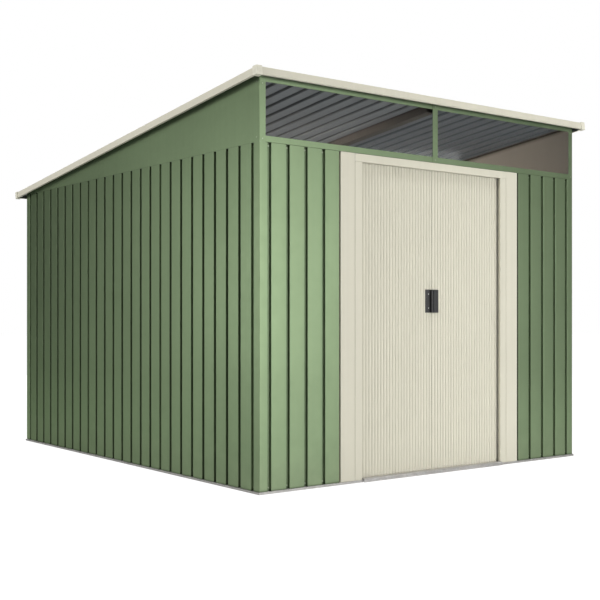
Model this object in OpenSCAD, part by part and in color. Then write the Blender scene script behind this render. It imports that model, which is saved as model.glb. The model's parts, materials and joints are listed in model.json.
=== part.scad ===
// Garden storage shed of folded sheet steel: grooved wall panels on a galvanised base frame,
// a glazed strip over a pair of sliding doors, and a single-pitch roof that falls to the back.
// Seen from the front, +X is to the right, +Y goes in through the doors and +Z is up.
// The origin is on the ground, under the middle of the roof.

/* [Walls] */
// Distance from one wall groove to the next
rib_pitch = 115; // [105:1:125]
// Grooves across the front and the back wall
front_grooves = 21; // [19:2:25]
// Grooves along each side wall
side_grooves = 25; // [19:1:31]
// Flat left beyond the outermost half pitch at each corner
corner_margin = 4; // [0:0.5:10]
// Height of the top of the grooved panels above the ground
wall_h = 1750; // [1600:5:1900]
// Thickness of the wall, roof and door sheets
sheet_t = 0.6; // [0.4:0.1:1]
// Width of a groove at the face of the wall
groove_mouth = 22; // [18:1:30]
// Width of a groove at its bottom
groove_bottom = 15; // [10:1:17]
// Depth of a groove, and height of a roof rib
groove_depth = 12; // [9:0.5:13]

/* [Base frame] */
// Height of the shelf that the wall panels stand on
base_h = 12; // [8:1:16]
// How far the base rails stand out beyond the walls
base_proud = 6; // [3:0.5:10]
// How far the base rails' foot flange reaches inwards
base_flange = 42; // [38:1:60]
// Height of the upright flange behind the panels
base_upstand = 45; // [35:1:60]
// Thickness of the rails, posts and trims
rail_t = 1; // [0.8:0.1:1.5]
// Diameter of the ground anchor holes
anchor_d = 9; // [6:0.5:10]
// Distance of the anchor holes from the front and back walls
anchor_inset = 300; // [150:10:500]

/* [Doors] */
// Groove pitches of wall panel on each side of the door posts
front_panel_pitches = 4; // [3:1:5]
// Width of the outer door posts
door_post_w = 98; // [80:1:115]
// Width of the strips that frame the opening inside the posts
jamb_w = 50; // [35:1:65]
// Depth of the folds round the opening
reveal_depth = 15; // [13:0.5:17]
// Height of the band over the opening
header_h = 43; // [35:1:60]
// Depth of the door leaves' face behind the wall's face
leaf_depth = 27.5; // [26:0.5:30]
// How far each leaf reaches behind the frame of the opening
leaf_lap = 18; // [10:1:25]
// Gap between the two closed leaves
meeting_gap = 2; // [1:0.5:6]
// Distance from one fine rib of the leaves to the next
leaf_rib_pitch = 21.5; // [18:0.5:26]
// Depth of the fine ribs
leaf_rib_depth = 2.5; // [1.5:0.5:3.5]
// Height of the step at the doorway
threshold_h = 20; // [18:1:26]
// How far the step stands out in front of the wall
threshold_proud = 17; // [10:1:30]
// Width of each handle plate
handle_w = 50; // [40:1:60]
// Height of each handle
handle_h = 130; // [100:1:160]
// How far the grip stands out from the leaf
handle_grip = 16; // [10:0.5:18]
// Height of the handles' middle above the ground
handle_z = 970; // [850:5:1100]

/* [Glazed strip] */
// Height from the top of the front panels to the underside of the roof
clerestory_h = 338; // [250:1:450]
// Height of the rail under the panes
sill_h = 32; // [25:1:40]
// Height of the rail over the panes
lintel_h = 38; // [30:1:50]
// Width of the corner posts on the front
glass_post_w = 38; // [30:1:50]
// Width of the corner posts on the sides
glass_post_side = 55; // [40:1:80]
// Width of the middle post
mullion_w = 40; // [30:1:50]
// Thickness of the panes
pane_t = 4; // [3:0.5:6]

/* [Roof] */
// Height from the top of the back panels to the underside of the roof
back_gap = 11; // [8:0.5:30]
// Overhang at the front, along the slope
front_overhang = 53; // [40:1:80]
// Overhang at the back, along the slope
back_overhang = 72; // [40:1:100]
// Overhang at each side
side_overhang = 53; // [40:1:80]
// Height of the trim round the roof
trim_h = 39; // [34:1:55]
// Width of the trim's upper flange
trim_flange = 30; // [20:1:45]
// Width of the fold along the trim's lower edge
trim_return = 14; // [8:1:20]
// Ribs across the roof, an odd number
roof_ribs = 23; // [19:2:27]
// Width of a roof rib at its foot
roof_rib_foot = 36; // [26:1:44]
// Width of a roof rib at its top
roof_rib_top = 24; // [14:1:24]
// Width of the beam under the roof
beam_w = 60; // [50:1:80]
// Depth of the beam under the roof
beam_h = 45; // [30:1:60]
// Length of each side of the corner caps
cap_arm = 32; // [24:1:45]
// How far the corner caps stand out from the trim
cap_proud = 4; // [3:0.5:6]

/* [Hidden] */
$fn = 48;

green = [0.56, 0.65, 0.50];
cream = [0.86, 0.85, 0.78];
galvanised = [0.66, 0.67, 0.67];
sheet_grey = [0.40, 0.41, 0.42];
clear = [0.85, 0.90, 0.92, 0.35];
black = [0.20, 0.20, 0.21];

// Clearance between pieces that rest on or butt against each other
seat = 0.3;
// Walls and roof edges in order: each starts at its left end, seen from inside
FRONT = 0;
RIGHT = 1;
BACK = 2;
LEFT = 3;
SIDE_PANELS = 3;
BACK_PANELS = 2;

wall_w = front_grooves * rib_pitch + 2 * corner_margin;
wall_l = side_grooves * rib_pitch + 2 * corner_margin;
panel_z = base_h + seat;
groove_back = groove_depth + sheet_t;

// Roof: a plane through the underside of its sheets
roof_slope = atan((clerestory_h - back_gap) / wall_l);
roof_w = wall_w + 2 * side_overhang;
roof_front = -front_overhang;
roof_back = wall_l / cos(roof_slope) + back_overhang;
trim_top = groove_back + seat + rail_t;
trim_foot = trim_top - trim_h;

// The walls are placed so that the origin lies under the middle of the roof
roof_reach_front = (roof_front - cap_proud) * cos(roof_slope) + (trim_foot - cap_proud) * sin(roof_slope);
roof_reach_back = (roof_back + cap_proud) * cos(roof_slope) + (trim_top + cap_proud) * sin(roof_slope);
front_y = -(roof_reach_front + roof_reach_back) / 2;
back_y = front_y + wall_l;

// Doorway, measured along the front wall from its left corner
post_u = groove_u(front_panel_pitches);
jamb_u = post_u + door_post_w + 2 * seat;
opening_u = jamb_u + jamb_w;
opening_h = wall_h - header_h;

// Sliding doors and the two channels that they run in
channel_v = base_flange / 2;
channel_w = 28;
channel_lip = 18;
guide_set = 6;
guide_lip = header_h - guide_set;
leaf_u = opening_u - leaf_lap;
leaf_w = wall_w / 2 - meeting_gap / 2 - leaf_u;
leaf_fold = 12;
leaf_clear = 10;
leaf_z = 2 * rail_t + leaf_clear;
leaf_top = opening_h + leaf_fold;
handle_plate = 3;
handle_grip_w = 15;
handle_edge = 1.5;
glide_l = 45;
glide_w = 10;
glide_inset = 60;
glide_lap = 40;

// Glazed strip
sill_top = wall_h + sill_h;
lintel_foot = wall_h + clerestory_h - lintel_h;
pane_v = rail_t + seat;
glass_flange = channel_v + channel_w;
gable_v = rail_t + seat;
gable_foot = glass_post_w;
rail_flange = 40;
gable_top_flange = 20;
gable_lap = 35;

// Distance of groove i's middle from the start of its wall
function groove_u(i) = corner_margin + (i + 0.5) * rib_pitch;

// Left-hand unit normal of the line from p to q
function left_normal(p, q) = let (d = q - p) [-d[1], d[0]] / norm(d);

// How a fold's inner corner is offset, for a sheet of unit thickness on the left of its path
function fold_offset(path, i) =
    let (last = len(path) - 1)
    let (before = left_normal(path[max(i - 1, 0)], path[max(i, 1)]))
    let (after = left_normal(path[min(i, last - 1)], path[min(i + 1, last)]))
    (before + after) / (1 + before * after);

// Outline of a sheet of thickness t folded along a path
function folded(path, t) = concat(
    path,
    [for (i = [len(path) - 1 : -1 : 0]) path[i] + t * fold_offset(path, i)]
);

// The two halves of a groove about its middle: down from the flat, and up to the next flat
function groove_down(u, mouth, bottom, depth) = [[u - mouth / 2, 0], [u - bottom / 2, depth]];
function groove_up(u, mouth, bottom, depth) = [[u + bottom / 2, depth], [u + mouth / 2, 0]];
function groove(u, mouth, bottom, depth) =
    concat(groove_down(u, mouth, bottom, depth), groove_up(u, mouth, bottom, depth));
function wall_groove_down(u) = groove_down(u, groove_mouth, groove_bottom, groove_depth);
function wall_groove_up(u) = groove_up(u, groove_mouth, groove_bottom, groove_depth);
function wall_groove(u) = groove(u, groove_mouth, groove_bottom, groove_depth);

// Path of a wall panel from the middle of groove a to the near side of groove b
function ribbed_path(a, b) = concat(
    [[groove_u(a) + seat / 2, groove_depth]],
    wall_groove_up(groove_u(a)),
    [for (i = [a + 1 : 1 : b - 1]) each wall_groove(groove_u(i))],
    wall_groove_down(groove_u(b))
);

// The same path closed to the middle of groove b, where the next panel starts
function butted_path(a, b) = concat(ribbed_path(a, b), [[groove_u(b) - seat / 2, groove_depth]]);

// Groove at which panel k of a wall split into count panels starts
function panel_start(k, count, grooves) = round(k * (grooves - 1) / count);

// One side of a plan w wide that runs from y0 to y1: x along the side, y inwards
module on_edge(side, w, y0, y1) {
    corner_x = side == FRONT || side == LEFT ? -w / 2 : w / 2;
    corner_y = side == FRONT || side == RIGHT ? y0 : y1;
    translate([corner_x, corner_y, 0])
        rotate(90 * side)
            children();
}

module on_wall(side) {
    on_edge(side, wall_w, front_y, back_y)
        children();
}

module on_roof() {
    translate([0, front_y, wall_h + clerestory_h])
        rotate([-roof_slope, 0, 0])
            children();
}

module on_roof_edge(side) {
    on_roof()
        on_edge(side, roof_w, roof_front, roof_back)
            children();
}

// The right-hand twin of a left-hand piece
module twin() {
    mirror([1, 0, 0])
        children();
}

// A folded sheet with its path in plan, standing from z0 to z1
module upright(path, t, z0, z1) {
    translate([0, 0, z0])
        linear_extrude(z1 - z0)
            polygon(folded(path, t));
}

// A folded sheet with its path in section, depth then height, run along an edge from u0 to u1
module run(path, t, u0, u1) {
    translate([u0, 0, 0])
        rotate([90, 0, 90])
            linear_extrude(u1 - u0)
                polygon(folded(path, t));
}

// Keeps what lies between the mitres at the two ends of an edge of the given length
module mitred(length, reach_out, reach_in, z0, z1) {
    intersection() {
        children();
        translate([0, 0, z0])
            linear_extrude(z1 - z0)
                polygon([
                    [seat / 2 - reach_out, -reach_out],
                    [length - seat / 2 + reach_out, -reach_out],
                    [length - seat / 2 - reach_in, reach_in],
                    [seat / 2 + reach_in, reach_in]
                ]);
    }
}

// Cuts off what would reach through the underside of the roof
module below_roof() {
    difference() {
        children();
        on_roof()
            translate([-roof_w, -wall_l, -seat])
                cube([2 * roof_w, 3 * wall_l, clerestory_h]);
    }
}

// Base frame
base_path = [
    [groove_back + seat, base_upstand],
    [groove_back + seat, base_h],
    [-base_proud, base_h],
    [-base_proud, 0],
    [base_flange, 0]
];

module base_rail(length, u0, u1) {
    color(galvanised)
        mitred(length, base_proud + rail_t, base_flange + rail_t, -rail_t, base_upstand + rail_t)
            run(base_path, rail_t, u0, u1);
}

module side_base_rail() {
    color(galvanised)
        difference() {
            base_rail(wall_l, -base_proud, wall_l + base_proud);
            for (u = [anchor_inset, wall_l - anchor_inset])
                translate([u, anchor_v(), -rail_t])
                    cylinder(d = anchor_d, h = 3 * rail_t);
        }
}

// Depth of the anchor holes: midway between the upright flange and the foot's edge
function anchor_v() = (groove_back + seat + rail_t + base_flange) / 2;

// The upright flange stops where the door post's own flange takes over
module front_left_base_rail() {
    color(galvanised)
        on_wall(FRONT)
            difference() {
                base_rail(wall_w, -base_proud, opening_u);
                translate([post_u - groove_mouth - seat, 0, base_h])
                    cube([wall_w, base_flange, base_upstand]);
            }
}

module front_right_base_rail() {
    twin()
        front_left_base_rail();
}

module left_base_rail() {
    on_wall(LEFT)
        side_base_rail();
}

module right_base_rail() {
    on_wall(RIGHT)
        side_base_rail();
}

module back_base_rail() {
    on_wall(BACK)
        base_rail(wall_w, -base_proud, wall_w + base_proud);
}

module door_threshold() {
    chamfer = 4;
    rear = channel_v - seat;
    path = [
        [rear, 0],
        [rear, threshold_h],
        [chamfer - threshold_proud, threshold_h],
        [-threshold_proud, threshold_h - chamfer],
        [-threshold_proud, 0]
    ];
    color(galvanised)
        on_wall(FRONT)
            run(path, rail_t, opening_u + seat, wall_w - opening_u - seat);
}

// Channels for the sliding doors, run across the inside of the front wall
channel_end = base_flange + base_proud;

module door_bottom_track() {
    path = [
        [channel_v, rail_t + channel_lip],
        [channel_v, rail_t],
        [channel_v + channel_w, rail_t],
        [channel_v + channel_w, rail_t + channel_lip]
    ];
    color(galvanised)
        on_wall(FRONT)
            run(path, rail_t, channel_end, wall_w - channel_end);
}

module door_top_guide() {
    path = [
        [channel_v + channel_w, wall_h - guide_lip],
        [channel_v + channel_w, wall_h],
        [channel_v, wall_h],
        [channel_v, wall_h - guide_lip]
    ];
    color(galvanised)
        on_wall(FRONT)
            run(path, rail_t, channel_end, wall_w - channel_end);
}

// Walls
module corner() {
    half_groove = concat(wall_groove_down(groove_u(0)), [[groove_u(0) - seat / 2, groove_depth]]);
    path = concat([for (i = [2 : -1 : 0]) [half_groove[i][1], half_groove[i][0]]], [[0, 0]], half_groove);
    color(green)
        upright(path, sheet_t, panel_z, wall_h);
}

module wall_panel(side, k, count, grooves) {
    a = panel_start(k, count, grooves);
    b = panel_start(k + 1, count, grooves);
    color(green)
        on_wall(side)
            upright(butted_path(a, b), sheet_t, panel_z, wall_h);
}

module front_left_corner() {
    on_wall(FRONT)
        corner();
}

module front_right_corner() {
    on_wall(RIGHT)
        corner();
}

module back_right_corner() {
    on_wall(BACK)
        corner();
}

module back_left_corner() {
    on_wall(LEFT)
        corner();
}

module front_left_panel() {
    color(green)
        on_wall(FRONT)
            upright(ribbed_path(0, front_panel_pitches), sheet_t, panel_z, wall_h);
}

module front_right_panel() {
    twin()
        front_left_panel();
}

// Gables: flat sheets on the side walls, folded in along the bottom and under the roof
module left_gable() {
    z0 = wall_h + seat;
    z1 = wall_h + clerestory_h;
    u1 = wall_l - glass_post_side + gable_lap;
    color(green)
        below_roof()
            on_wall(LEFT) {
                run([[gable_v, z0], [gable_v, z1]], -sheet_t, seat, u1);
                run([[gable_foot, z0], [gable_v, z0], [gable_v, z1]], -sheet_t, rail_flange + rail_t, u1);
                gable_fold(u1);
            }
}

// The fold that follows the roof's slope at the top of a gable, from the back rail to the front post
module gable_fold(u1) {
    top_back = wall_h + back_gap;
    rise = tan(roof_slope);
    translate([0, gable_v + gable_top_flange, 0])
        rotate([90, 0, 0])
            linear_extrude(gable_top_flange)
                polygon([
                    for (u = [rail_flange + rail_t, u1]) [u, top_back + u * rise],
                    for (u = [u1, rail_flange + rail_t]) [u, top_back + u * rise - seat - sheet_t]
                ]);
}

module right_gable() {
    twin()
        left_gable();
}

// The rail between the gables that closes the back wall under the roof
module back_top_rail() {
    z0 = wall_h + seat;
    z1 = wall_h + back_gap - seat;
    end = gable_v + sheet_t + seat;
    path = [
        [rail_flange, z1 + rail_flange * tan(roof_slope)],
        [0, z1],
        [0, z0],
        [rail_flange, z0]
    ];
    color(green)
        on_wall(BACK)
            run(path, rail_t, end, wall_w - end);
}

// Glazed strip
module clerestory_sill() {
    z0 = wall_h + seat;
    path = [[0, sill_top], [0, z0], [glass_flange, z0]];
    color(green)
        on_wall(FRONT)
            run(path, rail_t, glass_post_w + seat, wall_w - glass_post_w - seat);
}

module clerestory_lintel() {
    z1 = wall_h + clerestory_h - seat;
    path = [[rail_flange, z1 - rail_flange * tan(roof_slope)], [0, z1], [0, lintel_foot]];
    color(green)
        on_wall(FRONT)
            run(path, rail_t, glass_post_w + seat, wall_w - glass_post_w - seat);
}

module clerestory_left_post() {
    path = [[0, glass_post_side], [0, 0], [glass_post_w, 0]];
    color(green)
        below_roof()
            on_wall(FRONT)
                upright(path, rail_t, wall_h + seat, wall_h + clerestory_h);
}

module clerestory_right_post() {
    twin()
        clerestory_left_post();
}

module clerestory_mullion() {
    face = -rail_t - seat;
    u0 = (wall_w - mullion_w) / 2;
    u1 = u0 + mullion_w;
    color(green)
        below_roof()
            on_wall(FRONT) {
                upright([[u0, face], [u1, face]], rail_t, wall_h + seat, wall_h + clerestory_h);
                upright(
                    [[u0, pane_v - seat], [u0, face], [u1, face], [u1, pane_v - seat]],
                    rail_t, sill_top + seat, lintel_foot - seat
                );
            }
}

// A pane stands behind the faces of its frame, on the sill's flange and under the lintel's
module left_pane() {
    u0 = glass_post_w / 2;
    u1 = wall_w / 2 - seat;
    z0 = wall_h + rail_t + 2 * seat;
    z1 = wall_h + clerestory_h - 2 * rail_t - (pane_v + pane_t) * tan(roof_slope);
    color(clear)
        on_wall(FRONT)
            translate([u0, pane_v, z0])
                cube([u1 - u0, pane_t, z1 - z0]);
}

module right_pane() {
    twin()
        left_pane();
}

// Roof
module roof_beam() {
    path = [[-beam_w / 2, -seat], [-beam_w / 2, -beam_h], [beam_w / 2, -beam_h], [beam_w / 2, -seat]];
    end = rail_flange / cos(roof_slope) + 2 * seat;
    color(sheet_grey)
        on_roof()
            along_slope(end, wall_l / cos(roof_slope) - end)
                polygon(folded(path, rail_t));
}

// Extrudes a section across the roof from s0 to s1 down its slope
module along_slope(s0, s1) {
    translate([0, s1, 0])
        rotate([90, 0, 0])
            linear_extrude(s1 - s0)
                children();
}

// Distance of rib i's middle from the left wall: the outermost ribs lie over the outermost grooves
function roof_rib_u(i) = groove_u(0) + i * (wall_w - 2 * groove_u(0)) / (roof_ribs - 1);

// Ribs raised above the flats, from the left edge to the middle rib
module roof_left_sheet() {
    edge = rail_t + seat;
    middle = (roof_ribs - 1) / 2;
    ribs = [
        for (i = [0 : 1 : middle - 1])
            each groove(roof_rib_u(i), roof_rib_foot, roof_rib_top, groove_depth)
    ];
    half_rib = groove_down(wall_w / 2, roof_rib_foot, roof_rib_top, groove_depth);
    last = concat(half_rib, [[wall_w / 2 - seat / 2, groove_depth]]);
    path = [for (p = concat([[edge - side_overhang, 0]], ribs, last)) p - [wall_w / 2, 0]];
    color(green)
        on_roof()
            along_slope(roof_front + edge, roof_back - edge)
                polygon(folded(path, sheet_t));
}

module roof_right_sheet() {
    twin()
        roof_left_sheet();
}

trim_path = [[trim_flange, trim_top], [0, trim_top], [0, trim_foot], [trim_return, trim_foot]];

module roof_trim(side) {
    length = side == FRONT || side == BACK ? roof_w : roof_back - roof_front;
    color(cream)
        on_roof_edge(side)
            mitred(length, rail_t, trim_flange + rail_t, trim_foot - rail_t, trim_top + rail_t)
                run(trim_path, rail_t, 0, length);
}

module roof_front_trim() {
    roof_trim(FRONT);
}

module roof_right_trim() {
    roof_trim(RIGHT);
}

module roof_back_trim() {
    roof_trim(BACK);
}

module roof_left_trim() {
    roof_trim(LEFT);
}

// Moulded caps that close the mitres of the trim
module roof_corner_caps() {
    color(cream)
        for (side = [FRONT : LEFT])
            on_roof_edge(side)
                difference() {
                    translate([-cap_proud, -cap_proud, trim_foot - cap_proud])
                        linear_extrude(trim_h + 2 * cap_proud)
                            round_corner(cap_arm + cap_proud, 2 * cap_proud);
                    translate([-seat, -seat, trim_foot - seat])
                        cube([2 * cap_arm, 2 * cap_arm, trim_h + 2 * seat]);
                }
}

// A square with its corner at the origin rounded
module round_corner(size, r) {
    translate([r, r])
        circle(r);
    translate([r, 0])
        square([size - r, size]);
    translate([0, r])
        square([size, size - r]);
}

// Frame of the doorway
module left_door_post() {
    path = [
        [post_u - groove_mouth, groove_back + seat],
        [post_u, groove_back + seat],
        [post_u, 0],
        [post_u + door_post_w, 0],
        [post_u + door_post_w, reveal_depth]
    ];
    color(cream)
        on_wall(FRONT)
            upright(path, rail_t, panel_z, wall_h);
}

module right_door_post() {
    twin()
        left_door_post();
}

module left_jamb() {
    path = [[jamb_u, reveal_depth], [jamb_u, 0], [opening_u, 0], [opening_u, reveal_depth]];
    color(cream)
        on_wall(FRONT)
            upright(path, rail_t, panel_z, opening_h - seat);
}

module right_jamb() {
    twin()
        left_jamb();
}

module door_header() {
    path = [
        [reveal_depth, wall_h],
        [0, wall_h],
        [0, opening_h],
        [reveal_depth, opening_h]
    ];
    color(cream)
        on_wall(FRONT)
            run(path, rail_t, jamb_u, wall_w - jamb_u);
}

// Sliding doors
module left_door_leaf() {
    mouth = leaf_rib_pitch / 2;
    bottom = leaf_rib_pitch / 4;
    count = floor(leaf_w / leaf_rib_pitch);
    first = (leaf_w - (count - 1) * leaf_rib_pitch) / 2;
    ribs = [
        for (i = [0 : count - 1])
            let (u = first + i * leaf_rib_pitch)
            each groove(u, mouth, bottom, leaf_rib_depth)
    ];
    path = concat([[0, leaf_fold], [0, 0]], ribs, [[leaf_w, 0], [leaf_w, leaf_fold]]);
    color(cream)
        on_wall(FRONT)
            translate([leaf_u, leaf_depth, 0])
                upright(path, sheet_t, leaf_z, leaf_top);
}

module right_door_leaf() {
    twin()
        left_door_leaf();
}

// A plate screwed to the leaf, with a grip standing up along the meeting edge
module left_handle() {
    color(black)
        on_wall(FRONT)
            translate([leaf_u + leaf_w, leaf_depth, handle_z - handle_h / 2])
                linear_extrude(handle_h)
                    polygon([
                        [0, 0],
                        [-handle_w, 0],
                        [-handle_w, handle_edge - handle_plate],
                        [handle_edge - handle_w, -handle_plate],
                        [-handle_grip_w, -handle_plate],
                        [-handle_grip_w, handle_edge - handle_grip],
                        [handle_edge - handle_grip_w, -handle_grip],
                        [-handle_edge, -handle_grip],
                        [0, handle_edge - handle_grip]
                    ]);
}

module right_handle() {
    twin()
        left_handle();
}

// Shoes behind the leaf that run in the channels above and below it
module left_glides() {
    color(black)
        on_wall(FRONT)
            for (u = [leaf_u + glide_inset, leaf_u + leaf_w - glide_inset - glide_l]) {
                translate([u, leaf_depth + leaf_rib_depth + sheet_t, 2 * rail_t + seat])
                    cube([glide_l, glide_w, glide_lap]);
                translate([u, leaf_depth + leaf_rib_depth + sheet_t, wall_h - rail_t - seat - glide_lap])
                    cube([glide_l, glide_w, glide_lap]);
            }
}

module right_glides() {
    twin()
        left_glides();
}

front_left_base_rail();
front_right_base_rail();
left_base_rail();
right_base_rail();
back_base_rail();
door_threshold();
door_bottom_track();
front_left_corner();
front_right_corner();
back_right_corner();
back_left_corner();
wall_panel(LEFT, 0, SIDE_PANELS, side_grooves);  // left_panel_1
wall_panel(LEFT, 1, SIDE_PANELS, side_grooves);  // left_panel_2
wall_panel(LEFT, 2, SIDE_PANELS, side_grooves);  // left_panel_3
wall_panel(RIGHT, 0, SIDE_PANELS, side_grooves);  // right_panel_1
wall_panel(RIGHT, 1, SIDE_PANELS, side_grooves);  // right_panel_2
wall_panel(RIGHT, 2, SIDE_PANELS, side_grooves);  // right_panel_3
wall_panel(BACK, 0, BACK_PANELS, front_grooves);  // back_panel_1
wall_panel(BACK, 1, BACK_PANELS, front_grooves);  // back_panel_2
front_left_panel();
front_right_panel();
left_gable();
right_gable();
back_top_rail();
clerestory_sill();
clerestory_lintel();
clerestory_left_post();
clerestory_right_post();
clerestory_mullion();
left_pane();
right_pane();
roof_beam();
roof_left_sheet();
roof_right_sheet();
roof_front_trim();
roof_right_trim();
roof_back_trim();
roof_left_trim();
roof_corner_caps();
door_header();
left_door_post();
right_door_post();
left_jamb();
right_jamb();
door_top_guide();
left_door_leaf();
left_handle();
left_glides();
right_door_leaf();
right_handle();
right_glides();
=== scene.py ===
import json
import math

import bmesh
import bpy
from mathutils import Matrix, Vector

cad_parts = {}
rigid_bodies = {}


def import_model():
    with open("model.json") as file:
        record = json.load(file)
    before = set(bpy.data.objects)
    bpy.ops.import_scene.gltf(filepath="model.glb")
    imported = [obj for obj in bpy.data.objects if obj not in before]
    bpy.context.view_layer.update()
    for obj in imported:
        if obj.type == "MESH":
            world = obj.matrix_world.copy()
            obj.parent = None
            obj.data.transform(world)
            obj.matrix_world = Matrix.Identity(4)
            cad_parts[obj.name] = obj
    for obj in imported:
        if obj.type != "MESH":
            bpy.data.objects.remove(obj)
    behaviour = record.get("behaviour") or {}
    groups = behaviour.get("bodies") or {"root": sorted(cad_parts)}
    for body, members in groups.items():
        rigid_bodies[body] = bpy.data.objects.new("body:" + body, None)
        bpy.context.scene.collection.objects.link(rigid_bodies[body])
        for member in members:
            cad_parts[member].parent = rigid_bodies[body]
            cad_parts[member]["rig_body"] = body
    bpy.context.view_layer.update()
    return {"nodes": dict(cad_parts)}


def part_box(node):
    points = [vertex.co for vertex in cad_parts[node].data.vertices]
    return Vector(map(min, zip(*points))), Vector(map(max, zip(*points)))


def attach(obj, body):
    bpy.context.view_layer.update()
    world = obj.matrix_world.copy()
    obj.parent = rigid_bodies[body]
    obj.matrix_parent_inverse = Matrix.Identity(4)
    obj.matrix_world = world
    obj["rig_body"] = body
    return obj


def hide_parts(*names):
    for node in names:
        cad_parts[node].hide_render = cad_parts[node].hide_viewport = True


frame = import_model()
CAD = frame["nodes"]
SCENE = bpy.context.scene
MM = 0.001
WHITE = (1, 1, 1, 1)

# Folds of the sheet pieces
SHEET_T = 0.6 * MM
RAIL_T = 1.0 * MM
FOLD_RADIUS = 1.6 * MM
GABLE_RADIUS = 4 * MM
FOLD_STEPS = 4
FOLD_ANGLE = math.radians(32)
FOLD_SHORTEST = 0.3
FOLD_PARALLEL = 0.98
THIN_FACE = 1.8 * MM
WELD = 0.02 * MM
COPLANAR = math.radians(0.3)

# Outward directions of the sheet pieces, by the side they stand on
FRONT, BACK = Vector((0, -1, 0)), Vector((0, 1, 0))
LEFT, RIGHT = Vector((-1, 0, 0)), Vector((1, 0, 0))
UP = Vector((0, 0, 1))


# Node trees

NOISE_LOW, NOISE_HIGH = 0.3, 0.7
MIX_FACTOR, MIX_FIRST, MIX_SECOND, MIX_RESULT = 0, 6, 7, 2
# Ambient occlusion that paints shade into hollows and joints
SHADE_SAMPLES = 8
SHADE_FULL, SHADE_ENDS = 0.6, 0.96


def join(tree, value, socket):
    """Links a socket to another one, or sets it to a plain value."""
    if isinstance(value, bpy.types.NodeSocket):
        tree.links.new(value, socket)
    else:
        socket.default_value = value


def add(tree, kind, settings=None, **inputs):
    """A shader node with its settings and inputs; spaces in socket names are written as _."""
    made = tree.nodes.new("ShaderNode" + kind)
    for name, value in (settings or {}).items():
        setattr(made, name, value)
    for name, value in inputs.items():
        join(tree, value, made.inputs[name.replace("_", " ")])
    return made


def new_material(name):
    """An empty material: its node tree, and the output to join the shader to."""
    material = bpy.data.materials.new(name)
    material.use_nodes = True
    tree = material.node_tree
    tree.nodes.clear()
    return material, tree, add(tree, "OutputMaterial").inputs["Surface"]


def place(tree, stretch=(1, 1, 1)):
    """Object coordinates in metres, stretched along the axes."""
    coordinates = add(tree, "TexCoord").outputs["Object"]
    return add(tree, "Mapping", Vector=coordinates, Scale=stretch).outputs[0]


def position(tree, axis):
    """The object coordinate along X, Y or Z, in metres."""
    return add(tree, "SeparateXYZ", Vector=place(tree)).outputs[axis]


def noise(tree, scale, detail, stretch=(1, 1, 1)):
    made = add(tree, "TexNoise", Vector=place(tree, stretch), Scale=scale, Detail=detail)
    return made.outputs[0]


def spread(tree, value, low, high, start=NOISE_LOW, end=NOISE_HIGH):
    """Maps a value from the range start to end, which is a noise's by default, to low to high."""
    made = add(tree, "MapRange", Value=value, From_Min=start, From_Max=end, To_Min=low, To_Max=high)
    return made.outputs[0]


def mixed(tree, factor, first, second, blend="MIX"):
    made = add(tree, "Mix", {"data_type": "RGBA", "blend_type": blend})
    join(tree, factor, made.inputs[MIX_FACTOR])
    join(tree, first, made.inputs[MIX_FIRST])
    join(tree, second, made.inputs[MIX_SECOND])
    return made.outputs[MIX_RESULT]


def darkened(tree, colour, tone):
    return mixed(tree, 1.0, colour, tone, "MULTIPLY")


def either(tree, factor, first, second):
    """A shader that is the first one where the factor is 0, and the second one where it is 1."""
    made = add(tree, "MixShader", Fac=factor)
    join(tree, first, made.inputs[1])
    join(tree, second, made.inputs[2])
    return made.outputs[0]


def shade(colour, factor):
    """A colour made lighter or darker, with its alpha."""
    return (*[channel * factor for channel in colour], 1.0)


def dust_and_bounce_light(tree, colour, ground_tint, height, strength):
    """A colour mixed, in patches, towards a second colour, more strongly towards the ground: used for a real
    dusting, and for painted light bounced from the floor.
    """
    product = add(tree, "Math", {"operation": "MULTIPLY"})
    join(tree, spread(tree, position(tree, "Z"), strength, 0.0, 0.0, height), product.inputs[0])
    join(tree, spread(tree, noise(tree, scale=9, detail=5), 0.5, 1.0), product.inputs[1])
    return mixed(tree, product.outputs[0], colour, ground_tint)


def occlusion_shaded(tree, colour, reach, deepest, local=True):
    """Painted shade: a colour darkened by ambient occlusion in hollows of the piece, and in its joints with
    other pieces.
    """
    hollow = add(tree, "AmbientOcclusion", {"samples": SHADE_SAMPLES, "only_local": local}, Distance=reach)
    return darkened(tree, colour, spread(tree, hollow.outputs["AO"], deepest, 1.0, SHADE_FULL, SHADE_ENDS))


# Materials

DUST = (0.42, 0.38, 0.31, 1)
DUST_HEIGHT, DUST_STRENGTH = 0.22, 0.10
RAIL_DUST_HEIGHT, RAIL_DUST_STRENGTH = 0.04, 0.16
# Height and strength of the painted light bounced from the floor, which lightens the paint near the ground
BOUNCE_HEIGHT, BOUNCE_STRENGTH = 0.55, 0.9
# Where the painted shade towards the back begins and where it is full, along Y
BACK_SHADE_START, BACK_SHADE_FULL = -0.9, 1.4
# Reach of the painted occlusion shade in grooves, and in the joints between pieces
GROOVE_REACH = 30 * MM
JOINT_REACH = 14 * MM
STREAK_STRETCH = (38, 38, 0.9)
SMEAR_STRETCH = (1, 1, 2.5)
PEEL_HEIGHT = 0.2 * MM
GRAIN_HEIGHT = 0.15 * MM
BRIGHTEST_TINT = 0.9


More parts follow.
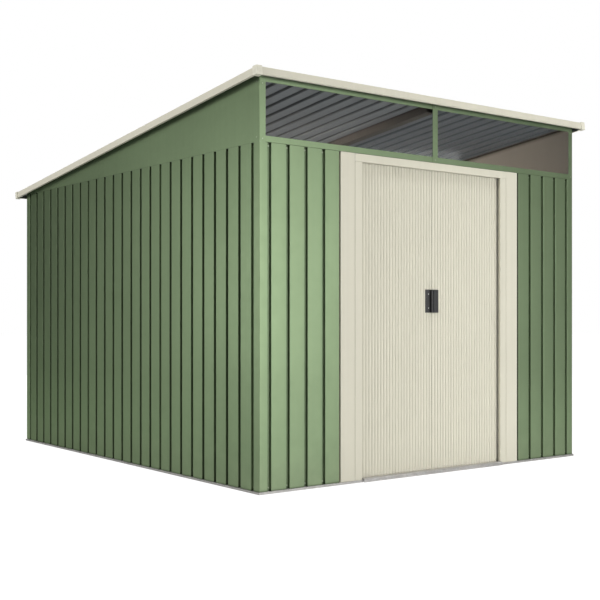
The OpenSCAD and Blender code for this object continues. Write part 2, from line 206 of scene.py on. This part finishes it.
def painted(
    name, colour, roughness, metallic, peel,
    tone=0.035, floor_bounce=1.0, groove_shade=None, joint_shade=0.5, back_shade=None,
):
    """Stove-enamelled sheet with slow changes of tone, faint rain streaks and orange peel.

    Near the ground the paint has a patchy dusting, and is lighter there by painted light bounced from the
    floor. Painted shade darkens its grooves and joints, and on some sheets the end towards the back.
    """
    material, tree, surface = new_material(name)
    slow = spread(tree, noise(tree, scale=1.7, detail=3), 0, 1)
    base = mixed(tree, slow, shade(colour, 1 - tone), shade(colour, 1 + tone))
    streaks = noise(tree, scale=1, detail=4, stretch=STREAK_STRETCH)
    base = darkened(tree, base, spread(tree, streaks, 0.965, 1.0))
    # Painted light: lighter near the ground, as if lit by light bounced from the floor
    base = dust_and_bounce_light(tree, base, shade(colour, floor_bounce), BOUNCE_HEIGHT, BOUNCE_STRENGTH)
    base = dust_and_bounce_light(tree, base, DUST, DUST_HEIGHT, DUST_STRENGTH)
    # Painted shade: darker towards the back end
    if back_shade:
        base = darkened(tree, base, spread(tree, position(tree, "Y"), 1.0, back_shade, BACK_SHADE_START, BACK_SHADE_FULL))
    # Painted shade in the grooves and joints, from ambient occlusion
    if groove_shade:
        base = occlusion_shaded(tree, base, GROOVE_REACH, groove_shade)
    base = occlusion_shaded(tree, base, JOINT_REACH, joint_shade, local=False)
    rough = spread(tree, noise(tree, scale=24, detail=4), roughness - 0.04, roughness + 0.05)
    grain = noise(tree, scale=700, detail=2)
    bump = add(tree, "Bump", Height=grain, Strength=peel, Distance=PEEL_HEIGHT)
    shader = add(
        tree, "BsdfPrincipled", Base_Color=base, Metallic=metallic, Roughness=rough,
        Specular_Tint=shade(colour, BRIGHTEST_TINT / max(colour)), Normal=bump.outputs[0],
    )
    join(tree, shader.outputs[0], surface)
    return material


def galvanised_metal(name, colour, roughness):
    """Zinc with a spangle of crystals, each with its own tone and gloss."""
    material, tree, surface = new_material(name)
    cells = add(tree, "TexVoronoi", Vector=place(tree), Scale=85.0, Randomness=1.0)
    crystal = add(tree, "SeparateColor", Color=cells.outputs["Color"]).outputs[0]
    base = mixed(tree, crystal, shade(colour, 0.86), shade(colour, 1.10))
    base = dust_and_bounce_light(tree, base, DUST, RAIL_DUST_HEIGHT, RAIL_DUST_STRENGTH)
    base = darkened(tree, base, spread(tree, noise(tree, scale=14, detail=5), 0.9, 1.0))
    rough = spread(tree, crystal, roughness - 0.06, roughness + 0.1, 0, 1)
    grain = noise(tree, scale=420, detail=3)
    bump = add(tree, "Bump", Height=grain, Strength=0.08, Distance=PEEL_HEIGHT)
    shader = add(
        tree, "BsdfPrincipled", Base_Color=base, Metallic=0.85, Roughness=rough, Normal=bump.outputs[0],
    )
    join(tree, shader.outputs[0], surface)
    return material


def clear_sheet(name):
    """Clear acrylic: sharp reflections over a nearly colourless body, with faint smears."""
    material, tree, surface = new_material(name)
    smears = noise(tree, scale=6, detail=6, stretch=SMEAR_STRETCH)
    through = add(tree, "BsdfTransparent", Color=(0.93, 0.95, 0.95, 1)).outputs[0]
    gloss = add(tree, "BsdfGlossy", Color=WHITE, Roughness=spread(tree, smears, 0.03, 0.06)).outputs[0]
    join(tree, either(tree, add(tree, "Fresnel", IOR=1.2).outputs[0], through, gloss), surface)
    return material


def moulded(name, colour, roughness, grain):
    """Moulded plastic with a fine eroded texture and handling marks."""
    material, tree, surface = new_material(name)
    slow = spread(tree, noise(tree, scale=30, detail=4), 0, 1)
    base = mixed(tree, slow, shade(colour, 0.92), shade(colour, 1.08))
    rough = spread(tree, noise(tree, scale=60, detail=5), roughness - 0.08, roughness + 0.08)
    erosion = noise(tree, scale=1400, detail=2)
    bump = add(tree, "Bump", Height=erosion, Strength=grain, Distance=GRAIN_HEIGHT)
    shader = add(tree, "BsdfPrincipled", Base_Color=base, Roughness=rough, Normal=bump.outputs[0])
    join(tree, shader.outputs[0], surface)
    return material


# The green is lighter near the ground by painted floor-bounce light, and darker in its joints by painted
# shade
GREEN_PAINT = {
    "colour": (0.193, 0.258, 0.150), "roughness": 0.40, "metallic": 0.8, "peel": 0.12,
    "floor_bounce": 1.3, "joint_shade": 0.3,
}
BACK_PAINT = {"metallic": 0.15, "peel": 0.15, "tone": 0.05}
GREEN = painted("green_enamel", groove_shade=0.55, **GREEN_PAINT)
# The front panels' copy of the green, with less painted shade in its grooves
LESS_SHADED_GREEN = painted("green_front_enamel", groove_shade=0.85, **GREEN_PAINT)
# The left wall's copy of the green, with painted shade darkening it towards the back
BACK_SHADED_GREEN = painted("green_left_shaded_enamel", groove_shade=0.55, back_shade=0.72, **GREEN_PAINT)
# The cream is a little lighter near the ground by painted floor-bounce light, with painted shade in its
# joints
CREAM = painted(
    "cream_enamel", (0.66, 0.636, 0.526), roughness=0.5, metallic=0.0, peel=0.10,
    tone=0.015, floor_bounce=1.06, joint_shade=0.9,
)
BACKCOAT = painted("grey_back_coat", (0.36, 0.37, 0.385), roughness=0.55, groove_shade=0.15, **BACK_PAINT)
# A darker copy of the grey back coat: painted shade for the underside of the right roof sheet
SHADED_BACKCOAT = painted(
    "shaded_back_coat", (0.27, 0.29, 0.315), roughness=0.5, groove_shade=0.5, joint_shade=0.8, **BACK_PAINT,
)
BEAM_COAT = painted("brown_primer", (0.15, 0.135, 0.125), roughness=0.5, groove_shade=0.5, **BACK_PAINT)
WALL_BACKCOAT = painted("taupe_back_coat", (0.46, 0.41, 0.36), roughness=0.55, groove_shade=0.15, **BACK_PAINT)
ZINC = galvanised_metal("galvanised_zinc", (0.50, 0.49, 0.48), roughness=0.45)
CLEAR = clear_sheet("clear_acrylic")
BLACK = moulded("black_plastic_grain", (0.018, 0.018, 0.019), roughness=0.5, grain=0.2)
CAP_PLASTIC = moulded("cream_plastic_grain", (0.74, 0.72, 0.60), roughness=0.45, grain=0.08)
SCREW_ZINC = galvanised_metal("bright_zinc", (0.78, 0.78, 0.76), roughness=0.3)
SCREW_GREEN = painted("green_screw_paint", (0.42, 0.50, 0.36), roughness=0.35, metallic=0.6, peel=0.05)


# Folded sheet pieces

def solid_of(node):
    """A node's solid with its triangles merged into flat faces."""
    bm = bmesh.new()
    bm.from_mesh(CAD[node].data)
    bmesh.ops.remove_doubles(bm, verts=bm.verts, dist=WELD)
    bmesh.ops.dissolve_limit(bm, angle_limit=COPLANAR, verts=bm.verts, edges=bm.edges)
    bmesh.ops.recalc_face_normals(bm, faces=bm.faces)
    return bm


def direction(edge):
    return (edge.verts[1].co - edge.verts[0].co).normalized()


def sharp_folds(bm):
    """The long sharp edges between broad faces, which run along the piece."""
    longest = max(bm.edges, key=lambda edge: edge.calc_length())
    along, length = direction(longest), longest.calc_length()
    return [
        edge for edge in bm.edges
        if edge.calc_length() > FOLD_SHORTEST * length
        and abs(direction(edge).dot(along)) > FOLD_PARALLEL
        and edge.calc_face_angle(0) > FOLD_ANGLE
        and min(face.calc_area() for face in edge.link_faces) > THIN_FACE * edge.calc_length()
    ]


def round_folds(bm, thickness, radius):
    """Gives the folds their bend radius: larger by the sheet's thickness on the outside."""
    folds = sharp_folds(bm)
    while folds:
        angle, convex = folds[0].calc_face_angle(), folds[0].is_convex
        alike = [
            edge for edge in folds
            if edge.is_convex == convex and abs(edge.calc_face_angle() - angle) < COPLANAR
        ]
        bend = radius + thickness if convex else radius
        bmesh.ops.bevel(
            bm, geom=alike, offset=bend * math.tan(angle / 2), offset_type="OFFSET",
            segments=FOLD_STEPS, profile=0.5, affect="EDGES", clamp_overlap=True,
        )
        left = sharp_folds(bm)
        if len(left) >= len(folds):
            return
        folds = left


def inner_skin(bm, outward):
    """The faces of the sheet's inner side: smooth patches that face away from outward."""
    inner = set()
    waiting = set(bm.faces)
    while waiting:
        patch, border = set(), [waiting.pop()]
        while border:
            face = border.pop()
            patch.add(face)
            for edge in face.edges:
                if len(edge.link_faces) == 2 and edge.calc_face_angle() < FOLD_ANGLE:
                    border += [near for near in edge.link_faces if near in waiting]
                    waiting.difference_update(edge.link_faces)
        facing = sum((face.normal * face.calc_area() for face in patch), Vector())
        if facing.dot(outward) < 0:
            inner |= patch
    return inner


def finish_piece(bm, name, materials, body):
    """Turns a bmesh into a shaded piece that rides on a body."""
    mesh = bpy.data.meshes.new(name)
    bm.to_mesh(mesh)
    bm.free()
    for material in materials:
        mesh.materials.append(material)
    mesh.shade_smooth()
    mesh.set_sharp_from_angle(angle=FOLD_ANGLE)
    piece = bpy.data.objects.new(name, mesh)
    SCENE.collection.objects.link(piece)
    weighted = piece.modifiers.new("weighted", "WEIGHTED_NORMAL")
    weighted.keep_sharp = True
    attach(piece, body)
    return piece


def formed(node, thickness, outside, inside=None, outward=None, radius=FOLD_RADIUS):
    """A folded sheet with rounded bends in place of a node, with its inner side in a second material when one
    is given.
    """
    bm = solid_of(node)
    round_folds(bm, thickness, radius)
    if inside:
        for face in inner_skin(bm, outward):
            face.material_index = 1
    materials = [outside, inside] if inside else [outside]
    piece = finish_piece(bm, node + "_formed", materials, CAD[node]["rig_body"])
    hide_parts(node)


WALL_SHEETS = {
    "right_panel_1": RIGHT, "right_panel_2": RIGHT, "right_panel_3": RIGHT,
    "back_panel_1": BACK, "back_panel_2": BACK,
    "front_left_corner": FRONT + LEFT, "front_right_corner": FRONT + RIGHT,
    "back_left_corner": BACK + LEFT, "back_right_corner": BACK + RIGHT,
}
LEFT_SHEETS = ("left_panel_1", "left_panel_2", "left_panel_3")
FRONT_SHEETS = ("front_left_panel", "front_right_panel")
ROOF_SHEETS = {"roof_left_sheet": BACKCOAT, "roof_right_sheet": SHADED_BACKCOAT}
GABLES = {"left_gable": LEFT, "right_gable": RIGHT}
GREEN_FRAME = {
    "clerestory_sill": FRONT, "clerestory_lintel": FRONT, "clerestory_mullion": FRONT,
    "clerestory_left_post": FRONT + LEFT, "clerestory_right_post": FRONT + RIGHT, "back_top_rail": BACK,
}
CREAM_FRAME = {
    "door_header": FRONT, "left_door_post": FRONT, "right_door_post": FRONT,
    "left_jamb": FRONT, "right_jamb": FRONT,
    "roof_front_trim": FRONT, "roof_back_trim": BACK, "roof_left_trim": LEFT, "roof_right_trim": RIGHT,
}
LEAVES = ("left_door_leaf", "right_door_leaf")
ZINC_RAILS = (
    "front_left_base_rail", "front_right_base_rail", "left_base_rail", "right_base_rail",
    "back_base_rail", "door_threshold", "door_bottom_track", "door_top_guide",
)

for node, outward in WALL_SHEETS.items():
    formed(node, SHEET_T, GREEN, WALL_BACKCOAT, outward)
for node in LEFT_SHEETS:
    formed(node, SHEET_T, BACK_SHADED_GREEN, WALL_BACKCOAT, LEFT)
for node in FRONT_SHEETS:
    formed(node, SHEET_T, LESS_SHADED_GREEN, WALL_BACKCOAT, FRONT)
for node, back_coat in ROOF_SHEETS.items():
    formed(node, SHEET_T, GREEN, back_coat, UP)
for node, outward in GABLES.items():
    formed(node, SHEET_T, GREEN, WALL_BACKCOAT, outward, GABLE_RADIUS)
for node, outward in GREEN_FRAME.items():
    formed(node, RAIL_T, GREEN, BACKCOAT, outward)
for node, outward in CREAM_FRAME.items():
    formed(node, RAIL_T, CREAM, BACKCOAT, outward)
for node in LEAVES:
    formed(node, SHEET_T, CREAM, BACKCOAT, FRONT)
for node in ZINC_RAILS:
    formed(node, RAIL_T, ZINC)
formed("roof_beam", RAIL_T, BEAM_COAT)


# Moulded pieces, and the plain ones that only get a material

CAP_EDGE = 1.6 * MM
HANDLE_EDGE = 0.9 * MM
EDGE_STEPS = 3
EDGE_ROOM = 2.2


def moulded_piece(node, material, radius):
    """A moulding with all its outer edges rounded, in place of a node."""
    bm = solid_of(node)
    edges = [
        edge for edge in bm.edges
        if edge.is_convex and edge.calc_face_angle(0) > FOLD_ANGLE
        and min(face.calc_area() for face in edge.link_faces) > EDGE_ROOM * radius * edge.calc_length()
    ]
    bmesh.ops.bevel(
        bm, geom=edges, offset=radius, offset_type="OFFSET", segments=EDGE_STEPS, profile=0.5,
        affect="EDGES", clamp_overlap=True,
    )
    piece = finish_piece(bm, node + "_moulded", [material], CAD[node]["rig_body"])
    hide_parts(node)


moulded_piece("roof_corner_caps", CAP_PLASTIC, CAP_EDGE)
moulded_piece("left_handle", BLACK, HANDLE_EDGE)
moulded_piece("right_handle", BLACK, HANDLE_EDGE)

PLAIN_PIECES = {"left_pane": CLEAR, "right_pane": CLEAR, "left_glides": BLACK, "right_glides": BLACK}
for node, material in PLAIN_PIECES.items():
    CAD[node].data.materials.clear()
    CAD[node].data.materials.append(material)


# Screws

RIB_PITCH = 115 * MM
SIDE_GROOVES, FRONT_GROOVES, FRONT_PANEL_GROOVES = 25, 21, 4
SCREW_SINK = 0.3 * MM

# Radius and height of the screw heads
WALL_SCREW = (5.2 * MM, 3.4 * MM)
FRAME_SCREW = (4.2 * MM, 2.6 * MM)
HANDLE_SCREW = (3.4 * MM, 1.4 * MM)

# Sides of the flange and of the hexagon, with foot, top and height as shares of the head's size
HEAD_STEPS = ((24, 1.0, 0.86, 0.34), (6, 0.66, 0.60, 1.0))

# Distances of the screws from the lower and upper end of what they hold
WALL_ENDS = (17.7 * MM, 16 * MM)
POST_SIDE_ENDS = (23.7 * MM, 38.2 * MM)
POST_FRONT_ENDS = (15.7 * MM, 47.7 * MM)
MULLION_ENDS = (15.7 * MM, 21.85 * MM)
HANDLE_ENDS = (25.5 * MM, 25.5 * MM)
POST_SIDE_SET = 23 * MM
HANDLE_SCREW_SET = 28 * MM
HANDLE_PLATE = 3 * MM

WALL_LOW, WALL_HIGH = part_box("left_panel_1")[0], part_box("right_panel_1")[1]
FRONT_Y, BACK_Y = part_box("front_left_panel")[0].y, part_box("back_panel_1")[1].y
LEFT_X, RIGHT_X = WALL_LOW.x, WALL_HIGH.x
GROOVE_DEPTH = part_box("left_panel_1")[1].x - LEFT_X - SHEET_T
CORNER_MARGIN = (BACK_Y - FRONT_Y - SIDE_GROOVES * RIB_PITCH) / 2


def screw_head(bm, place, outward, size):
    """A hexagon head on a round flange."""
    radius, height = size
    turn = outward.to_track_quat("Z", "Y").to_matrix().to_4x4()
    for sides, foot, top, share in HEAD_STEPS:
        tall = share * height
        middle = place + outward * (tall / 2 - SCREW_SINK)
        bmesh.ops.create_cone(
            bm, cap_ends=True, segments=sides, radius1=foot * radius, radius2=top * radius, depth=tall,
            matrix=Matrix.Translation(middle) @ turn,
        )


def screws(name, places, outward, size=WALL_SCREW, material=SCREW_GREEN, body="shell"):
    bm = bmesh.new()
    for place in places:
        screw_head(bm, Vector(place), outward, size)
    finish_piece(bm, name, [material], body)


def grooves(start, count):
    """Places of the grooves along a wall whose first flat begins at start."""
    return [start + (i + 0.5) * RIB_PITCH for i in range(count)]


def rows(node, ends):
    """Heights of the lower and the upper screw in a node."""
    low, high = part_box(node)
    return (low.z + ends[0], high.z - ends[1])


wall_rows = rows("left_panel_1", WALL_ENDS)
side_places = [(y, z) for y in grooves(FRONT_Y + CORNER_MARGIN, SIDE_GROOVES) for z in wall_rows]
across = grooves(LEFT_X + CORNER_MARGIN, FRONT_GROOVES)
panel_grooves = across[:FRONT_PANEL_GROOVES] + across[-FRONT_PANEL_GROOVES:]
screws("left_wall_screws", [(LEFT_X + GROOVE_DEPTH, y, z) for y, z in side_places], LEFT)
screws("right_wall_screws", [(RIGHT_X - GROOVE_DEPTH, y, z) for y, z in side_places], RIGHT)
screws("back_wall_screws", [(x, BACK_Y - GROOVE_DEPTH, z) for x in across for z in wall_rows], BACK)
screws("front_wall_screws", [(x, FRONT_Y + GROOVE_DEPTH, z) for x in panel_grooves for z in wall_rows], FRONT)

post_low, post_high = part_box("clerestory_left_post")
post_y = post_low.y + POST_SIDE_SET
post_middle = (post_high.x - post_low.x) / 2
post_rows = rows("clerestory_left_post", POST_SIDE_ENDS)
corner_rows = rows("clerestory_left_post", POST_FRONT_ENDS)
corner_xs = (LEFT_X + post_middle, RIGHT_X - post_middle)
mullion_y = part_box("clerestory_mullion")[0].y
mullion_rows = rows("clerestory_mullion", MULLION_ENDS)
screws("left_post_screws", [(LEFT_X, post_y, z) for z in post_rows], LEFT, FRAME_SCREW)
screws("right_post_screws", [(RIGHT_X, post_y, z) for z in post_rows], RIGHT, FRAME_SCREW)
screws("mullion_screws", [(0, mullion_y, z) for z in mullion_rows], FRONT, FRAME_SCREW)
screws("corner_post_screws", [(x, post_low.y, z) for x in corner_xs for z in corner_rows], FRONT, FRAME_SCREW)

handle_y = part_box("left_handle")[1].y - HANDLE_PLATE
handle_places = [(-HANDLE_SCREW_SET, handle_y, z) for z in rows("left_handle", HANDLE_ENDS)]
screws("left_handle_screws", handle_places, FRONT, HANDLE_SCREW, SCREW_ZINC, "left_door")


# Floor

FLOOR_REACH = 40.0
FLOOR_DROP = 0.5 * MM
FLOOR_TONES = (0.34, 0.36)
FLOOR_SEEN = (0.1, 0.1, 0.1, 1)
# The camera sees the outer floor white, and the floor inside the walls darker: painted shade
FLOOR_WHITE, INDOOR_SEEN_SHADE = 1.0, 0.3
FLOOR_GLOW = 0.1
INDOOR_GLOW, INDOOR_FADE = 1.15, 0.1


def glowing(tree, colour, glow):
    """A matt shader with some light of its own."""
    made = add(tree, "AddShader")
    join(tree, add(tree, "BsdfDiffuse", Color=colour).outputs[0], made.inputs[0])
    join(tree, add(tree, "Emission", Color=WHITE, Strength=glow).outputs[0], made.inputs[1])
    return made.outputs[0]


def floor_material(name, glow, seen_tone, faded=None):
    """A matt floor that glows, less towards the right if faded; the camera sees the outer floor paler than it
    is, and the floor inside the walls darker, as painted shade.
    """
    material, tree, surface = new_material(name)
    if faded is not None:
        glow = spread(tree, position(tree, "X"), glow, faded, LEFT_X, RIGHT_X)
    lit = glowing(tree, spread(tree, noise(tree, scale=0.6, detail=3), *FLOOR_TONES), glow)
    seen = glowing(tree, FLOOR_SEEN, seen_tone)
    join(tree, either(tree, add(tree, "LightPath").outputs["Is Camera Ray"], lit, seen), surface)
    return material


def studio_floor():
    """A wide floor, with a glow of its own for the part inside the walls."""
    inside_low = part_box("front_left_corner")[0]
    inside_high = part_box("back_right_corner")[1]
    xs = (-FLOOR_REACH, inside_low.x, inside_high.x, FLOOR_REACH)
    ys = (-FLOOR_REACH, inside_low.y, inside_high.y, FLOOR_REACH)
    bm = bmesh.new()
    grid = [[bm.verts.new((x, y, -FLOOR_DROP)) for x in xs] for y in ys]
    for row in range(len(ys) - 1):
        for column in range(len(xs) - 1):
            near, far = grid[row], grid[row + 1]
            face = bm.faces.new((near[column], near[column + 1], far[column + 1], far[column]))
            face.material_index = int(row == 1 and column == 1)
    mesh = bpy.data.meshes.new("floor")
    bm.to_mesh(mesh)
    bm.free()
    mesh.materials.append(floor_material("pale_floor", FLOOR_GLOW, FLOOR_WHITE))
    mesh.materials.append(floor_material("shaded_floor", INDOOR_GLOW, INDOOR_SEEN_SHADE, INDOOR_FADE))
    floor = bpy.data.objects.new("floor", mesh)
    SCENE.collection.objects.link(floor)


studio_floor()


# Light panels

TARGET = Vector((0, 0, 1.0))
LOW_PANEL = {"height": 1.6, "distance": 10.0, "width": 2.0, "tall": 3.2}
GROUND_SPREAD = math.radians(70)
INDOOR_SPREAD = math.radians(60)
INDOOR_AIM = Vector((1, 0, -0.02))
INDOOR_COLOUR = (1.0, 0.90, 0.80)


def softbox(name, azimuth, radiance, height, distance, width, tall):
    """A soft light panel that faces the shed; azimuth 0 is in front and 90 on the left."""
    turn = math.radians(azimuth)
    lamp = bpy.data.lights.new(name, "AREA")
    lamp.shape = "RECTANGLE"
    lamp.size, lamp.size_y = width, tall
    lamp.energy = radiance * math.pi * width * tall
    panel = bpy.data.objects.new(name, lamp)
    panel.location = (-math.sin(turn) * distance, -math.cos(turn) * distance, height)
    panel.rotation_euler = (TARGET - panel.location).to_track_quat("-Z", "Y").to_euler()
    panel.visible_camera = False
    SCENE.collection.objects.link(panel)
    return panel


softbox("key_panel", azimuth=-9, radiance=15.8, **LOW_PANEL)
softbox("key_edge_panel", azimuth=-22, radiance=2.4, **LOW_PANEL)
softbox("front_right_panel", azimuth=-35, radiance=2.4, **LOW_PANEL)
softbox("left_panel", azimuth=124, radiance=7.9, **LOW_PANEL)
softbox("left_high_panel", azimuth=80, radiance=7.2, height=5.5, distance=9.0, width=5.0, tall=4.0)
softbox("right_panel", azimuth=-95, radiance=1.6, height=2.6, distance=9.0, width=4.0, tall=5.0)
softbox("back_panel", azimuth=-158, radiance=7.0, height=3.0, distance=9.0, width=7.0, tall=5.0)
softbox("front_high_panel", azimuth=-5, radiance=0.45, height=6.5, distance=9.0, width=6.0, tall=4.0)
ground = softbox("ground_panel", azimuth=-15, radiance=2.2, height=5.0, distance=5.2, width=5.0, tall=5.0)
ground.rotation_euler = (0, 0, 0)
ground.data.spread = GROUND_SPREAD
indoors = softbox("indoor_panel", azimuth=90, radiance=2.4, height=1.72, distance=1.13, width=2.2, tall=0.3)
indoors.rotation_euler = INDOOR_AIM.to_track_quat("-Z", "Y").to_euler()
indoors.data.spread = INDOOR_SPREAD
indoors.data.color = INDOOR_COLOUR


# Sky: white for the camera, and for the rest a soft light from overhead

SKY = 0.85
SKY_START, SKY_FULL = 0.6, 0.85
world = bpy.data.worlds.new("studio")
SCENE.world = world
world.use_nodes = True
sky = world.node_tree
sky.nodes.clear()
ray_height = add(sky, "SeparateXYZ", Vector=add(sky, "TexCoord").outputs["Generated"]).outputs[2]
overhead_strength = spread(sky, ray_height, 0.0, SKY, SKY_START, SKY_FULL)
overhead = add(sky, "Background", Color=WHITE, Strength=overhead_strength).outputs[0]
backdrop = add(sky, "Background", Color=WHITE, Strength=1.0).outputs[0]
seen_sky = either(sky, add(sky, "LightPath").outputs["Is Camera Ray"], overhead, backdrop)
join(sky, seen_sky, add(sky, "OutputWorld").inputs["Surface"])


# Camera

CAMERA_PLACE = (-4.1975, -5.7032, 0.8815)
CAMERA_TURN = (math.radians(90), 0, math.radians(-37.29))
LENS_MM = 63
SENSOR_MM = 36
LENS_RISE = 0.028
lens = bpy.data.cameras.new("camera")
lens.lens = LENS_MM
lens.sensor_width = SENSOR_MM
lens.shift_y = LENS_RISE
camera = bpy.data.objects.new("camera", lens)
camera.location = CAMERA_PLACE
camera.rotation_euler = CAMERA_TURN
SCENE.collection.objects.link(camera)
SCENE.camera = camera
SCENE.view_settings.view_transform = "Standard"
